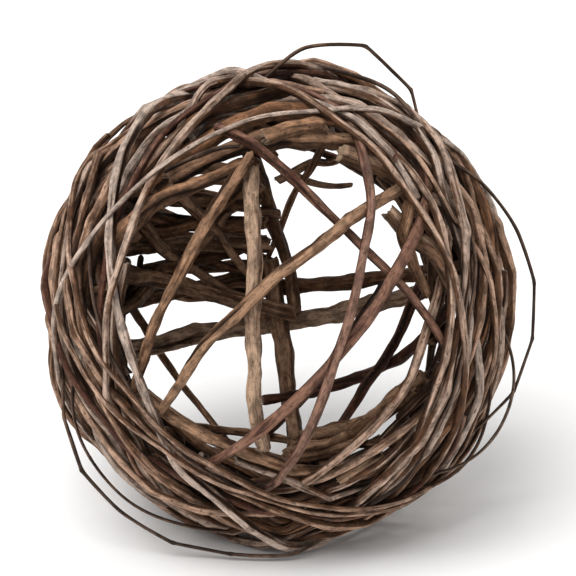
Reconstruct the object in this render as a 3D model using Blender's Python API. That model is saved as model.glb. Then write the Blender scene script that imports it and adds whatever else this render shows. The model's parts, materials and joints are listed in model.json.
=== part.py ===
"""A decorative ball of wound vines and twigs, standing on a small flat spot.

Every vine, stick, twig and shoot is its own closed solid. Each one is planned as the arc of a circle
on a sphere. All of them are then drawn onto each other and pressed, over and under, until they touch
without meeting.

Metres, +Z up. The ball is seen from the front (-Y), from a little above. The origin is on the floor,
under the middle of the ball's whole width and depth.
"""

import math
from collections import namedtuple

import bpy
import numpy as np

# The ball.
SHELL_RADIUS = 0.0550  # from the middle of the ball to the middle of the wound shell
STAND_HEIGHT = 0.0549  # from the floor to the middle of the ball
FLAT_DEPTH = 0.0004  # how deep the floor has rubbed the lowest strands flat
WISP_LIFT = 0.0015  # a loose wisp hangs at least this far above the floor
VIEW_ELEVATION = 20.0  # degrees above the horizon from which the winding plan is drawn

# Thickness of a strand at its butt end.
THICK = 0.0051
STICK = 0.0043
TWIG = 0.0032
VINE = 0.0026
SHOOT = 0.0020
WISP = 0.0012
TIP_SHARE = 0.72  # how much of that thickness is left at the far end

# How the strands lie on each other.
LAYER_STEP = 0.0011  # planned distance between one layer of strands and the next
TOUCH_GAP = 0.0004  # clearance left between two strands that lie on each other
WAVER = 0.0008  # how far a strand wanders sideways from its circle
WAVER_IN_OUT = 0.00055  # and how far in and out
TUCK = 0.0030  # how far a strand's ends are tucked in under the others
TIP_DOME = 0.25  # height of a rounded cut end, as a share of its radius
SHARP_ANGLE = math.radians(75)

# Along a strand, as an angle around the ball.
SEGMENT_TURN = math.radians(13.0)  # one straight length of a strand
WAVER_TURN = math.radians(73.0)  # from one bend of its wandering to the next but one
TUCK_TURN = math.radians(17.0)  # the last length of a strand, along which it is tucked in
WISP_HOLD_TURN = math.radians(28.0)  # the last length of a loose wisp, which lies tight on the ball
SHORT_WAVERS = 2.7  # shorter bends in each long one
SHORT_SHARE = 0.35  # their share of the wandering

FRONT, BACK = 1, -1
# The places of the front and back twigs are shares of the outline's radius, which is larger than the shell's.
# Seen from nearby, the front also looks larger than the outline and the back smaller, so each side's places
# are spread by a factor. Those of the side twigs and the wisps are places on the shell, and stay as they are.
SPREAD = {FRONT: 1.06, BACK: 1.10}
NO_SPREAD = {FRONT: 1.0, BACK: 1.0}
EDGE = 0.985  # no place is spread further out than this

# A vine that runs most of the way round the ball. Its front half bulges to `across` at mid height, as a
# share of the ball's radius, and its plane leans to the left by `lean` degrees. It crosses the ball's
# outline `tip` degrees in front of the top. It starts `start` degrees past that crossing, down the front,
# and goes on for `sweep` degrees. `layer` counts outwards in steps of LAYER_STEP.
Ring = namedtuple("Ring", "across lean tip start sweep girth layer")
# A twig along the arc through three places on the ball, each (across, up, FRONT or BACK) as the ball is
# seen. `proud` is how far its middle stands off the shell.
Twig = namedtuple("Twig", "name first middle last girth layer proud")

RIM_VINES = (
    Ring(-0.69, 21, 6, -20, 330, VINE, 2.6),
    Ring(-0.74, 12, 17, 60, 335, VINE, 1.8),
    Ring(-0.77, 27, -12, -70, 320, SHOOT, 2.7),
    Ring(-0.81, 3, -20, 150, 330, TWIG, 0.9),
    Ring(-0.85, 33, 14, 20, 325, VINE, 2.0),
    Ring(-0.89, 17, 26, -110, 335, TWIG, 0.2),
    Ring(-0.93, -3, 9, 100, 325, VINE, 1.5),
    Ring(-0.96, 26, -8, 10, 315, TWIG, 0.6),
    Ring(-0.99, 9, -24, -150, 330, VINE, 1.9),
    Ring(0.76, -8, -5, -10, 330, VINE, 2.4),
    Ring(0.79, 6, 20, 80, 335, SHOOT, 2.6),
    Ring(0.82, -20, 11, -60, 320, VINE, 1.3),
    Ring(0.86, 13, -17, 170, 330, TWIG, 1.7),
    Ring(0.9, -13, -25, 40, 325, TWIG, 0.3),
    Ring(0.93, -30, 3, -140, 335, VINE, 2.0),
    Ring(0.96, 2, -10, 110, 320, TWIG, 1.0),
    Ring(0.98, -22, 23, -40, 325, VINE, 1.6),
    Ring(0.99, 19, 15, 60, 330, VINE, 2.3),
    Ring(-0.71, 34, -17, 130, 325, SHOOT, 1.4),
    Ring(0.74, -15, 16, -100, 325, SHOOT, 1.8),
)

FRONT_TWIGS = (
    Twig("upright_stick", (-0.15, 0.64, FRONT), (-0.12, 0.0, FRONT), (-0.09, -0.62, FRONT), STICK, -1.0, 0),
    Twig("leaning_stick", (-0.11, 0.62, FRONT), (-0.35, 0.24, FRONT), (-0.66, -0.38, FRONT), TWIG, 0.2, 0),
    Twig("thin_diagonal_twig", (-0.24, 0.71, FRONT), (0.31, 0.29, FRONT), (0.72, -0.27, FRONT), VINE, 0.9, 0),
    Twig("bowed_twig", (0.28, 0.82, FRONT), (0.28, -0.02, FRONT), (-0.1, -0.82, FRONT), VINE, 2.2, 0),
    Twig("steep_diagonal_twig", (0.6, 0.7, FRONT), (0.38, 0.0, FRONT), (-0.32, -0.67, FRONT), TWIG, 1.7, 0),
    Twig("long_diagonal_twig", (0.58, 0.5, FRONT), (-0.02, 0.08, FRONT), (-0.5, -0.46, FRONT), TWIG, 0.8, 0),
    Twig("top_cross_stick", (-0.46, 0.54, FRONT), (0.13, 0.7, FRONT), (0.7, 0.48, FRONT), STICK, -0.4, 0),
    Twig("upper_left_stick", (-0.74, 0.22, FRONT), (-0.42, 0.5, FRONT), (-0.15, 0.67, FRONT), STICK, -0.9, 0),
    Twig("top_under_stick", (-0.62, 0.57, FRONT), (-0.18, 0.78, FRONT), (0.32, 0.82, FRONT), THICK, -1.0, 0),
    Twig("right_short_stick", (0.48, 0.42, FRONT), (0.6, 0.28, FRONT), (0.74, 0.0, FRONT), STICK, -1.2, 0),
    Twig("low_cross_twig", (-0.66, -0.38, FRONT), (-0.18, -0.66, FRONT), (0.35, -0.8, FRONT), TWIG, -0.7, 0),
    Twig("low_tan_stick", (-0.05, -0.68, FRONT), (0.2, -0.78, FRONT), (0.5, -0.77, FRONT), STICK, -1.3, 0),
)

BACK_TWIGS = (
    Twig("back_upper_bar", (-0.2, 0.08, BACK), (0.29, 0.13, BACK), (0.9, 0.22, BACK), STICK, -0.4, 0),
    Twig("back_middle_bar", (-0.9, -0.17, BACK), (0.05, -0.07, BACK), (0.88, 0.1, BACK), THICK, -0.4, 0),
    Twig("back_upright_stick", (-0.07, 0.2, BACK), (0.04, -0.35, BACK), (0.08, -0.9, BACK), THICK, -0.9, 0),
    Twig("back_falling_stick", (-0.2, 0.76, BACK), (-0.09, 0.36, BACK), (0.04, -0.06, BACK), STICK, -2.2, 0),
    Twig("back_thin_twig", (0.2, 0.72, BACK), (0.05, 0.4, BACK), (-0.08, 0.08, BACK), SHOOT, -0.2, 0),
    Twig("back_slant_01", (0.52, 0.1, BACK), (0.27, -0.2, BACK), (-0.05, -0.6, BACK), VINE, 1.1, 0),
    Twig("back_slant_02", (0.76, 0.02, BACK), (0.36, -0.34, BACK), (-0.1, -0.5, BACK), TWIG, 0.6, 0),
    Twig("back_slant_03", (0.66, 0.12, BACK), (0.38, -0.38, BACK), (0.1, -0.76, BACK), VINE, -0.6, 0),
    Twig("back_low_stick_01", (0.63, -0.35, BACK), (0.38, -0.53, BACK), (0.05, -0.67, BACK), THICK, -1.6, 0),
    Twig("back_low_stick_02", (0.6, -0.47, BACK), (0.38, -0.61, BACK), (0.06, -0.77, BACK), THICK, -0.6, 0),
    Twig("back_short_twig", (-0.68, 0.02, BACK), (-0.36, -0.38, BACK), (0.0, -0.8, BACK), SHOOT, 0.6, 0),
    Twig("back_left_vine_01", (-0.9, 0.34, BACK), (-0.45, 0.26, BACK), (-0.03, 0.24, BACK), THICK, -0.8, 0),
    Twig("back_left_vine_02", (-0.9, 0.1, BACK), (-0.45, 0.18, BACK), (-0.05, 0.3, BACK), THICK, 0.6, 0),
    Twig("back_left_vine_03", (-0.9, 0.14, BACK), (-0.45, 0.09, BACK), (0.05, -0.03, BACK), THICK, -0.4, 0),
    Twig("back_left_vine_04", (-0.9, -0.14, BACK), (-0.45, 0.01, BACK), (0.0, 0.13, BACK), STICK, 1.3, 0),
    Twig("back_left_vine_05", (-0.8, 0.44, BACK), (-0.42, 0.35, BACK), (-0.07, 0.38, BACK), THICK, 0.1, 0),
    Twig("back_left_vine_06", (-0.68, 0.62, BACK), (-0.38, 0.48, BACK), (-0.09, 0.46, BACK), THICK, -0.6, 0),
    Twig("back_low_vine", (-0.72, -0.5, BACK), (-0.1, -0.56, BACK), (0.62, -0.64, BACK), VINE, 0.0, 0),
)

SIDE_TWIGS = (
    Twig("left_side_twig_01", (-0.7, 0.6, FRONT), (-0.99, 0.05, FRONT), (-0.72, -0.5, BACK), TWIG, -0.4, 0),
    Twig("left_side_twig_02", (-0.72, -0.55, FRONT), (-0.98, -0.02, BACK), (-0.6, 0.62, BACK), TWIG, -0.9, 0),
    Twig("right_side_twig_01", (0.7, 0.5, FRONT), (0.99, 0.02, BACK), (0.62, -0.55, BACK), TWIG, -0.7, 0),
    Twig("right_side_twig_02", (0.72, -0.58, FRONT), (0.98, 0.04, FRONT), (0.6, 0.66, BACK), TWIG, -0.2, 0),
    Twig("top_side_twig", (-0.35, 0.78, FRONT), (0.02, 0.98, BACK), (0.45, 0.68, BACK), TWIG, -0.3, 0),
    Twig("bottom_side_twig_01", (-0.5, -0.74, FRONT), (0.0, -0.98, BACK), (0.5, -0.78, BACK), TWIG, 2.9, 0),
    Twig("bottom_side_twig_02", (-0.6, -0.62, BACK), (0.02, -0.82, BACK), (0.62, -0.58, BACK), TWIG, 3.4, 0),
)

WISPS = (
    Twig("top_wisp", (-0.12, 0.95, FRONT), (0.28, 0.94, FRONT), (0.66, 0.68, FRONT), WISP, 2.2, 0.0110),
    Twig("right_wisp", (0.7, 0.66, FRONT), (0.985, 0.0, FRONT), (0.66, -0.72, FRONT), WISP, 3.0, 0.0055),
    Twig("lower_wisp", (-0.93, -0.28, FRONT), (-0.45, -0.88, FRONT), (0.44, -0.86, FRONT), WISP, 3.0, 0.0095),
)

SEED = 11
# How the strands are pressed together: rounds of (steps, pull back to the plan, share of each bend evened
# out, whether strands that cross are drawn onto each other).
PRESSING = ((100, 0.03, 0.3, True), (100, 0.005, 0.1, True), (200, 0.0, 0.02, True), (260, 0.0, 0.0, False))
PUSH = 1.7  # how strongly two strands that meet are pushed apart, from step to step
TENSION = 0.1  # how strongly two strands that cross are drawn onto each other
TENSION_REACH = 0.0030  # from how far apart
WATCH_STEPS = 10  # how often it is looked up which segments lie near each other
WATCH_DISTANCE = 0.004
NEARLY_PARALLEL = 1e-18  # below this, the closest places of two segments are looked for from one end

# Dull brown bark, redder or greyer from one strand to the next.
BARK_COLOUR = (0.13, 0.075, 0.045)
BARK_WARMTH = (0.05, 0.01, 0.0)
BARK_HUE_STEP = 2.4
BARK_ROUGHNESS = 0.75


def unit(vector):
    return vector / np.linalg.norm(vector)


def seen_vector(across, up, toward):
    """A vector given as it is seen in the photograph: to the right, up, and towards the viewer."""
    tilt = math.radians(VIEW_ELEVATION)
    right = np.array((1.0, 0.0, 0.0))
    upward = np.array((0.0, math.sin(tilt), math.cos(tilt)))
    viewer = np.array((0.0, -math.cos(tilt), math.sin(tilt)))
    return across * right + up * upward + toward * viewer


def seen_direction(across, up, side):
    """The direction from the ball's middle to a place on its front or back, as it is seen."""
    return unit(seen_vector(across, up, side * math.sqrt(max(0.0, 1.0 - across**2 - up**2))))


def spread_direction(place, spread):
    """The direction to a place (across, up, side), moved outwards by its side's factor."""
    across, up, side = place
    factor = min(spread[side], EDGE / math.hypot(across, up))
    return seen_direction(factor * across, factor * up, side)


def arc_directions(middle, one_way, other_way, angles):
    """Directions on the circle middle + cos(a) one_way + sin(a) other_way."""
    return middle + np.cos(angles)[:, None] * one_way + np.sin(angles)[:, None] * other_way


def steps_of(angle, radius_share):
    return max(4, round(abs(angle) * radius_share / SEGMENT_TURN))


def ring_directions(ring):
    """A great circle, from its start angle past the top and down the front."""
    lean, tip = math.radians(ring.lean), math.radians(ring.tip)
    top = seen_vector(-math.sin(lean) * math.cos(tip), math.cos(lean) * math.cos(tip), math.sin(tip))
    bulge = seen_direction(ring.across * math.cos(lean), ring.across * math.sin(lean), FRONT)
    bulge = unit(bulge - bulge.dot(top) * top)
    first, sweep = math.radians(ring.start), math.radians(ring.sweep)
    angles = np.linspace(first, first + sweep, steps_of(sweep, 1.0) + 1)
    return arc_directions(np.zeros(3), top, bulge, angles)


def twig_directions(twig, spread):
    """The circle through the twig's three places, from the first by way of the middle one to the last."""
    a, b, c = (spread_direction(place, spread) for place in (twig.first, twig.middle, twig.last))
    pole = unit(np.cross(b - a, c - a))
    middle = a.dot(pole) * pole
    size = np.linalg.norm(a - middle)
    one_way = (a - middle) / size
    other_way = np.cross(pole, one_way)
    sweep = math.atan2((c - middle).dot(other_way), (c - middle).dot(one_way)) % math.tau
    angles = np.linspace(0.0, sweep, steps_of(sweep, size) + 1)
    return arc_directions(middle, size * one_way, size * other_way, angles)


def wandering(count, chance):
    """A smooth wander between -1 and 1 along a strand of `count` points."""
    bends = math.tau * np.arange(count) * SEGMENT_TURN / WAVER_TURN
    phases = chance.uniform(0.0, math.tau, 2)
    long_wander = np.sin(bends + phases[0])
    short_wander = np.sin(SHORT_WAVERS * bends + phases[1])
    return (1.0 - SHORT_SHARE) * long_wander + SHORT_SHARE * short_wander


class Strand:
    """One vine or twig: the points of its middle line, and its radius at each of them."""

    def __init__(self, name, directions, girth, layer, proud, chance):
        count = len(directions)
        share = np.linspace(0.0, 1.0, count)
        self.name = name
        self.sides = 6 if girth > VINE else 5
        self.radii = 0.5 * girth * (1.0 - (1.0 - TIP_SHARE) * share)
        self.lowest = self.radii * math.cos(math.pi / self.sides) - FLAT_DEPTH
        if girth == WISP:
            self.lowest = self.radii + WISP_LIFT
        distance = SHELL_RADIUS + LAYER_STEP * layer + proud * np.sin(math.pi * share)
        distance = distance + WAVER_IN_OUT * wandering(count, chance)
        nearest_end = np.minimum(np.arange(count), np.arange(count)[::-1]) * SEGMENT_TURN
        distance = distance - TUCK * np.exp(-((nearest_end / TUCK_TURN) ** 2))
        self.taut = (girth != WISP) | (nearest_end < WISP_HOLD_TURN)
        along = np.gradient(directions, axis=0)
        sideways = np.cross(directions, along)
        sideways = sideways / np.linalg.norm(sideways, axis=1)[:, None]
        waver = WAVER * wandering(count, chance)
        self.plan = directions * distance[:, None] + sideways * waver[:, None]
        self.points = self.plan.copy()


def planned_strands():
    chance = np.random.default_rng(SEED)
    strands = []
    for number, ring in enumerate(RIM_VINES, 1):
        name = f"rim_vine_{number:02d}"
        strands.append(Strand(name, ring_directions(ring), ring.girth, ring.layer, 0.0, chance))
    for twigs, spread in ((FRONT_TWIGS + BACK_TWIGS, SPREAD), (SIDE_TWIGS + WISPS, NO_SPREAD)):
        for twig in twigs:
            directions = twig_directions(twig, spread)
            strands.append(Strand(twig.name, directions, twig.girth, twig.layer, twig.proud, chance))
    return strands


class Bundle:
    """All strands laid end to end in single arrays, so that they can be pressed together at once."""

    def __init__(self, strands):
        sizes = [len(s.points) for s in strands]
        ends = np.cumsum(sizes)
        self.points = np.concatenate([s.points for s in strands])
        self.plan = np.concatenate([s.plan for s in strands])
        self.radii = np.concatenate([s.radii for s in strands])
        self.lowest = np.concatenate([s.lowest for s in strands])
        self.taut = np.concatenate([s.taut for s in strands])
        self.owner = np.repeat(np.arange(len(strands)), sizes)
        index = np.arange(ends[-1])
        same_next = np.append(self.owner[1:] == self.owner[:-1], False)
        self.starts = index[same_next]
        self.before = np.where(np.append(False, same_next[:-1]), index - 1, index)
        self.after = np.where(same_next, index + 1, index)
        self.slices = [slice(end - size, end) for end, size in zip(ends, sizes)]

    def near_pairs(self):
        """Pairs of segments of different strands whose middles are near enough to touch."""
        a, b = self.points[self.starts], self.points[self.starts + 1]
        middles = 0.5 * (a + b)
        halves = 0.5 * np.linalg.norm(b - a, axis=1) + self.radii[self.starts]
        squares = (middles**2).sum(1)
        gaps = squares[:, None] + squares[None, :] - 2.0 * middles @ middles.T
        reach = halves[:, None] + halves[None, :] + TOUCH_GAP + WATCH_DISTANCE
        owner = self.owner[self.starts]
        first, second = np.nonzero((gaps < reach**2) & (owner[:, None] < owner[None, :]))
        return self.starts[first], self.starts[second]

    def contacts(self, pairs):
        """Where each pair of segments comes closest: shares along both, direction and shortfall."""
        i, j = pairs
        p, q = self.points[i], self.points[j]
        u, v = self.points[i + 1] - p, self.points[j + 1] - q
        w = p - q
        uu, vv, uv = (u * u).sum(1), (v * v).sum(1), (u * v).sum(1)
        uw, vw = (u * w).sum(1), (v * w).sum(1)
        s = np.clip((uv * vw - uw * vv) / np.maximum(uu * vv - uv * uv, NEARLY_PARALLEL), 0.0, 1.0)
        t = np.clip((uv * s + vw) / vv, 0.0, 1.0)
        s = np.clip((uv * t - uw) / uu, 0.0, 1.0)
        apart = w + s[:, None] * u - t[:, None] * v
        distance = np.linalg.norm(apart, axis=1)
        thick_i = (1 - s) * self.radii[i] + s * self.radii[i + 1]
        thick_j = (1 - t) * self.radii[j] + t * self.radii[j + 1]
        return s, t, apart / distance[:, None], thick_i + thick_j + TOUCH_GAP - distance

    def settle(self, pairs, tension):
        """Moves segments that meet apart, half each, and draws those that cross together."""
        s, t, way, short = self.contacts(pairs)
        crossing = (s > 0.0) & (s < 1.0) & (t > 0.0) & (t < 1.0)
        drawn = crossing & (short > -TENSION_REACH) & self.taut[pairs[0]] & self.taut[pairs[1]]
        short = np.where(short > 0.0, short, np.where(drawn, tension * short, 0.0))
        moving = short != 0.0
        i, j = pairs[0][moving], pairs[1][moving]
        s, t, way, short = s[moving], t[moving], way[moving], short[moving]
        step = 0.5 * way * short[:, None]
        places = np.concatenate([i, i + 1, j, j + 1])
        weights_i = np.concatenate([1 - s, s]) / np.tile((1 - s) ** 2 + s**2, 2)
        weights_j = np.concatenate([1 - t, t]) / np.tile((1 - t) ** 2 + t**2, 2)
        weights = np.concatenate([weights_i, weights_j])
        moves = np.concatenate([step, step, -step, -step]) * weights[:, None]
        count = len(self.points)
        total = np.stack([np.bincount(places, moves[:, axis], count) for axis in range(3)], axis=1)
        crowd = np.maximum(np.bincount(places, weights, count), 1.0)
        self.points += PUSH * total / crowd[:, None]

    def spring_back(self, pull, stiffness):
        """Eases every strand towards its plan, and evens out how far it has been bent from it."""
        bent = self.points - self.plan
        evened = 0.5 * (bent[self.before] + bent[self.after])
        self.points = self.plan + (1.0 - pull) * (bent + stiffness * (evened - bent))

    def stand(self):
        """Lifts what is under the floor onto it."""
        self.points[:, 2] = np.maximum(self.points[:, 2], self.lowest - STAND_HEIGHT)

    def press(self):
        """Presses the strands together until nothing meets."""
        for steps, pull, stiffness, drawn in PRESSING:
            for step in range(steps):
                if step % WATCH_STEPS == 0:
                    pairs = self.near_pairs()
                self.spring_back(pull, stiffness)
                self.settle(pairs, TENSION if drawn else 0.0)
                self.stand()


def tube(strand):
    """Vertices and faces of a strand: rings of corners, one flat side out, and a low dome on each end."""
    points, radii, sides = strand.points, strand.radii, strand.sides
    along = np.gradient(points, axis=0)
    along = along / np.linalg.norm(along, axis=1)[:, None]
    outward = points - (points * along).sum(1)[:, None] * along
    outward = outward / np.linalg.norm(outward, axis=1)[:, None]
    sideways = np.cross(along, outward)
    turns = (np.arange(sides) + 0.5) * math.tau / sides
    spokes = np.cos(turns)[:, None] * outward[:, None, :] + np.sin(turns)[:, None] * sideways[:, None, :]
    rings = points[:, None, :] + radii[:, None, None] * spokes
    first_tip = points[0] - TIP_DOME * radii[0] * along[0]
    last_tip = points[-1] + TIP_DOME * radii[-1] * along[-1]
    vertices = np.concatenate([rings.reshape(-1, 3), [first_tip, last_tip]])
    vertices[:, 2] = np.maximum(vertices[:, 2] + STAND_HEIGHT, 0.0)
    faces = []
    for ring in range(len(points) - 1):
        for side in range(sides):
            here, there = ring * sides, (ring + 1) * sides
            following = (side + 1) % sides
            faces.append((here + side, here + following, there + side))
            faces.append((here + following, there + following, there + side))
    last_ring = (len(points) - 1) * sides
    first_dome, last_dome = len(vertices) - 2, len(vertices) - 1
    for side in range(sides):
        following = (side + 1) % sides
        faces.append((first_dome, following, side))
        faces.append((last_dome, last_ring + side, last_ring + following))
    return vertices, faces


def bark(name, number):
    """The bark of one strand."""
    warmth = 0.5 + 0.5 * math.sin(BARK_HUE_STEP * number)
    colour = [base + warmth * more for base, more in zip(BARK_COLOUR, BARK_WARMTH)]
    material = bpy.data.materials.new(name + "_bark")
    material.use_nodes = True
    shader = material.node_tree.nodes["Principled BSDF"]
    shader.inputs["Base Color"].default_value = (*colour, 1.0)
    shader.inputs["Roughness"].default_value = BARK_ROUGHNESS
    shader.inputs["Metallic"].default_value = 0.0
    return material


def add_strand(name, vertices, faces, number):
    mesh = bpy.data.meshes.new(name)
    mesh.from_pydata(vertices.tolist(), [], faces)
    mesh.shade_smooth()
    mesh.set_sharp_from_angle(angle=SHARP_ANGLE)
    mesh.materials.append(bark(name, number))
    placed = bpy.data.objects.new(name, mesh)
    bpy.context.scene.collection.objects.link(placed)


def main():
    for old in list(bpy.data.objects):
        bpy.data.objects.remove(old)
    strands = planned_strands()
    bundle = Bundle(strands)
    bundle.press()
    for strand, place in zip(strands, bundle.slices):
        strand.points = bundle.points[place]
    tubes = [tube(strand) for strand in strands]
    corners = np.concatenate([vertices for vertices, faces in tubes])
    middle = 0.5 * (corners.min(axis=0) + corners.max(axis=0)) * (1.0, 1.0, 0.0)
    for number, (strand, (vertices, faces)) in enumerate(zip(strands, tubes)):
        add_strand(strand.name, vertices - middle, faces, number)


main()
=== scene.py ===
"""The looks of a decorative ball of wound vines and twigs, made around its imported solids.

Every strand takes its middle line from its own solid, and is rebuilt on it as a natural vine or twig: oval
and split in section, swollen and bent a little at its nodes, with ribs and lumps of bark along it and cut
ends of bare wood. Fine shoots, fillers of the far side, wires and stubs that have no solid of their own are
wound on in between. Metres, +Z up, the seen side faces -Y.
"""

import json
import math
from collections import namedtuple
from functools import lru_cache

import bpy
import numpy as np
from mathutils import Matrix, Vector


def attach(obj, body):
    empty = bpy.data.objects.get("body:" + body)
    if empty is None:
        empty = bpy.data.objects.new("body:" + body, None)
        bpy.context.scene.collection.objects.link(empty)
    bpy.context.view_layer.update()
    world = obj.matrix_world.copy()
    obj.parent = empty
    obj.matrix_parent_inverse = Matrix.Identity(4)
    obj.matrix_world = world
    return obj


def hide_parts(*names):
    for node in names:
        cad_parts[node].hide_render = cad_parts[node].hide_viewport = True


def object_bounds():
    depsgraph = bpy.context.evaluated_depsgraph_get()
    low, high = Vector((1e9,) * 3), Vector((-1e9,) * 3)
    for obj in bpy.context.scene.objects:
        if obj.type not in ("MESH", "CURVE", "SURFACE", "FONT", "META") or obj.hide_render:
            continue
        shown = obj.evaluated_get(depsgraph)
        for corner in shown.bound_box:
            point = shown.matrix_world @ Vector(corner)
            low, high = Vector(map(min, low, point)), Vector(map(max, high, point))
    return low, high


bl_info = {
    "name": "Vine Ball",
    "version": (1, 0, 0),
    "blender": (4, 5, 0),
    "location": "View3D > Sidebar > Vine Ball",
    "description": "Bark, cut ends and fine shoots for a ball of wound vines",
    "category": "Add Mesh",
}

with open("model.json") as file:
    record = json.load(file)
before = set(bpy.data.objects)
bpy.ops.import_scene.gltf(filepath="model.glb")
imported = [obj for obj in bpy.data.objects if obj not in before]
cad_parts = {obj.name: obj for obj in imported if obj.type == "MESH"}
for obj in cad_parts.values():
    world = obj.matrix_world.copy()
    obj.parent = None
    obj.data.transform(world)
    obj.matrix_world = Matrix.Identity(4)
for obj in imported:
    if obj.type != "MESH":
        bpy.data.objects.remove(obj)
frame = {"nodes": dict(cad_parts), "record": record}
CAD_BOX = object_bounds()
NODES = frame["nodes"]
SLOTS = {part["node"]: part["material_slot"] for part in frame["record"]["subparts"]}

# Reading a middle line from a solid.
RING_EDGE = 0.004  # corners joined by a shorter edge lie on one ring
SAME_POINT = 0.00001  # corners that agree to this are one corner


# The middle lines.


def merged(node):
    """The separate corners of a solid, and its triangles as places among them."""
    mesh = NODES[node].data
    corners = np.zeros(len(mesh.vertices) * 3)
    mesh.vertices.foreach_get("co", corners)
    triangles = np.zeros(len(mesh.loops), dtype=np.int64)
    mesh.loops.foreach_get("vertex_index", triangles)
    keys = np.round(corners.reshape(-1, 3) / SAME_POINT).astype(np.int64)
    unique, places = np.unique(keys, axis=0, return_inverse=True)
    return unique * SAME_POINT, places.ravel()[triangles].reshape(-1, 3)


def ring_labels(count, edges):
    """The number of the ring that each corner belongs to: corners joined by short edges share one."""
    labels = np.arange(count)
    while True:
        lower = np.minimum(labels[edges[:, 0]], labels[edges[:, 1]])
        spread = labels.copy()
        np.minimum.at(spread, edges[:, 0], lower)
        np.minimum.at(spread, edges[:, 1], lower)
        if (spread == labels).all():
            return np.unique(labels, return_inverse=True)[1]
        labels = spread


def middle_line(node):
    """The middle and the radius of each ring of corners of a strand's solid, from one end to the other."""
    corners, triangles = merged(node)
    edges = np.concatenate([triangles[:, [0, 1]], triangles[:, [1, 2]], triangles[:, [2, 0]]])
    lengths = np.linalg.norm(corners[edges[:, 0]] - corners[edges[:, 1]], axis=1)
    labels = ring_labels(len(corners), edges[lengths < RING_EDGE])
    links = np.unique(np.sort(labels[edges[lengths >= RING_EDGE]], axis=1), axis=0)
    links = links[links[:, 0] != links[:, 1]]
    neighbours = {ring: set() for ring in range(labels.max() + 1)}
    for a, b in links:
        neighbours[a].add(b)
        neighbours[b].add(a)
    order = [min(ring for ring in neighbours if len(neighbours[ring]) == 1)]
    while len(order) < len(neighbours):
        order.append(min(neighbours[order[-1]] - set(order)))
    middles, radii = [], []
    for place, ring in enumerate(order):
        ring_corners = corners[labels == ring]
        apart = np.linalg.norm(ring_corners - ring_corners.mean(axis=0), axis=1)
        if place in (0, len(order) - 1):
            ring_corners = np.delete(ring_corners, apart.argmin(), axis=0)
        middle = ring_corners.mean(axis=0)
        middles.append(middle)
        radii.append(np.linalg.norm(ring_corners - middle, axis=1).mean())
    return np.array(middles), np.array(radii)


def length_along(points):
    """The distance along a line from its start to each of its points."""
    return np.concatenate([[0.0], np.cumsum(np.linalg.norm(np.diff(points, axis=0), axis=1))])


def points_at(places, reach, points):
    """A line's points at the distances `places` along it, where its own points lie at `reach`."""
    return np.stack([np.interp(places, reach, points[:, axis]) for axis in range(3)], axis=1)


LINES = {name: middle_line(name) for name in sorted(NODES)}
ALL_MIDDLES = np.concatenate([middles for middles, radii in LINES.values()])


def ball_middle():
    """The middle of the sphere that fits the strands' middle lines best, by least squares."""
    table = np.column_stack([2.0 * ALL_MIDDLES, np.ones(len(ALL_MIDDLES))])
    answer = np.linalg.lstsq(table, (ALL_MIDDLES**2).sum(axis=1), rcond=None)[0]
    return answer[:3]


BALL_MIDDLE = ball_middle()
SHELL_RADIUS = float(np.linalg.norm(ALL_MIDDLES - BALL_MIDDLE, axis=1).mean())


# The plan of the strands that have no solid.

FRONT, BACK = 1, -1
SEEN_FROM = math.radians(20)  # the ball is seen from this far above the horizon

# A shoot that runs round the ball. Its front half bulges to `across` at mid height, as a share of the ball's
# radius, its plane leans `lean` degrees to the left, and it crosses the outline `tip` degrees in front of
# the top. It starts `start` degrees past that crossing and goes on for `sweep` degrees, `lift` outside the
# shell. `girth` is its thickness at its start.
Round = namedtuple("Round", "across lean tip start sweep girth lift slot")
# A twig through three places on one side of the ball, each (across, up) as it is seen, as shares of the
# ball's radius. `lift` is how far outside the shell it runs and `proud` how much further out its middle is.
Short = namedtuple("Short", "name side first middle last girth lift proud slot")

ROUNDS = (
    Round(-0.73, 16, -20, 70, 130, 0.0013, 0.002, "dark_wisp"),
    Round(-0.76, 24, 32, -60, 210, 0.0024, 0.003, "grey_brown_vine"),
    Round(-0.78, 8, -34, 20, 240, 0.0014, 0.004, "grey_brown_vine"),
    Round(-0.8, 19, 22, -140, 300, 0.0020, 0.001, "red_brown_twig"),
    Round(-0.82, 30, -6, -30, 260, 0.0026, -0.002, "grey_brown_vine"),
    Round(-0.84, 12, -28, 40, 280, 0.0014, 0.004, "grey_brown_vine"),
    Round(-0.86, 22, 12, 110, 250, 0.0028, -0.001, "brown_stick"),
    Round(-0.89, -2, 38, -90, 300, 0.0015, 0.003, "grey_brown_vine"),
    Round(-0.91, 28, -18, 15, 270, 0.0019, 0.002, "red_brown_twig"),
    Round(-0.96, -6, -13, -40, 290, 0.0025, 0.001, "grey_brown_vine"),
    Round(0.75, -8, 30, -70, 230, 0.0022, 0.003, "grey_brown_vine"),
    Round(0.77, 4, -36, 50, 260, 0.0027, -0.002, "grey_brown_vine"),
    Round(0.79, -22, 8, -20, 240, 0.0013, 0.004, "dark_wisp"),
    Round(0.82, -6, 27, 100, 290, 0.0016, 0.002, "red_brown_twig"),
    Round(0.83, -17, -20, -110, 300, 0.0028, -0.001, "grey_brown_vine"),
    Round(0.86, 9, 16, 30, 270, 0.0014, 0.003, "grey_brown_vine"),
    Round(0.88, -28, -4, -60, 280, 0.0027, 0.001, "brown_stick"),
    Round(0.92, 4, -27, 10, 300, 0.0020, 0.000, "grey_brown_vine"),
    Round(0.97, -4, -8, 80, 310, 0.0018, 0.002, "grey_brown_vine"),
)

ROUND_NAMES = tuple(f"fine_shoot_{number:02d}" for number in range(1, len(ROUNDS) + 1))


def far_sticks(group, *rows):
    """Brown sticks on the far side, numbered within their group."""
    return tuple(
        Short(f"{group}_{number:02d}", BACK, *row, "brown_stick") for number, row in enumerate(rows, 1)
    )


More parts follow.
